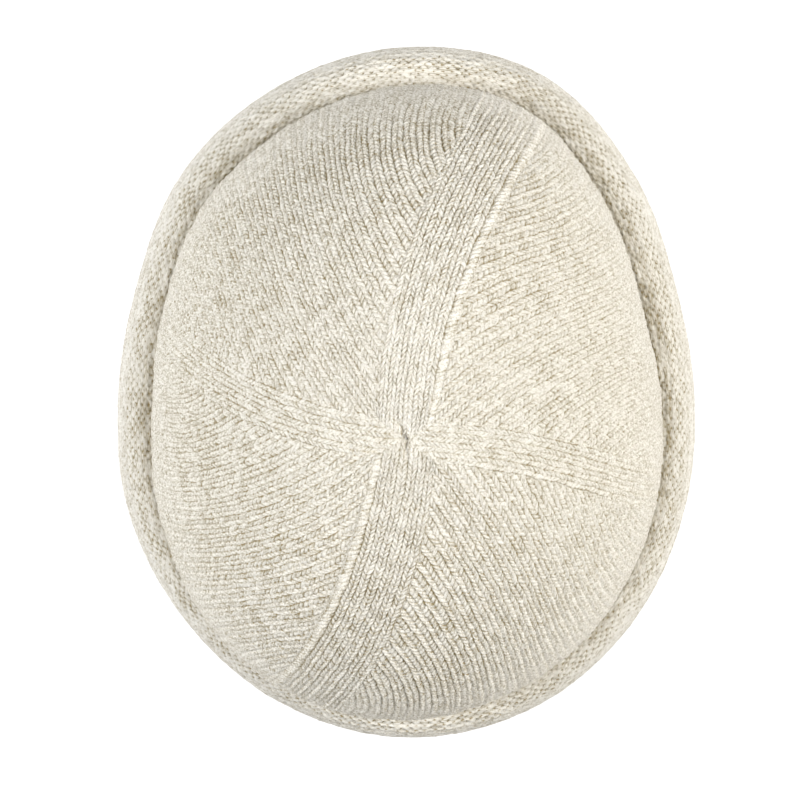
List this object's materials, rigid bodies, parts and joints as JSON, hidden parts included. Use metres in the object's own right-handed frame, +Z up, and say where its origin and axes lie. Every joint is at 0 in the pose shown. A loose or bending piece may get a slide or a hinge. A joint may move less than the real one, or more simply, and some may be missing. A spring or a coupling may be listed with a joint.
{
  "type": "docker beanie",
  "caption": "Close-fitting knitted docker beanie: a domed crown of gores between bands of straight stitches, standing on its outward-rolled edge.",
  "frame": {"origin": "under the middle of the rolled brim's outline, on the surface the hat stands on", "axes": "+Z up through the crown, +Y towards the forehead, +X to the right seen from above with the forehead away from the viewer"},
  "size_m": [0.1906, 0.2291, 0.1291],
  "materials": {
    "crown_knit": "plain knit of soft wool yarn in mottled ecru, smooth side out, lightly brushed",
    "brim_knit": "the same knit with its purl side out, rolled"
  },
  "bodies": {
    "root": {"crown": "crown_knit", "rolled_brim": "brim_knit"}
  },
  "joints": []
}
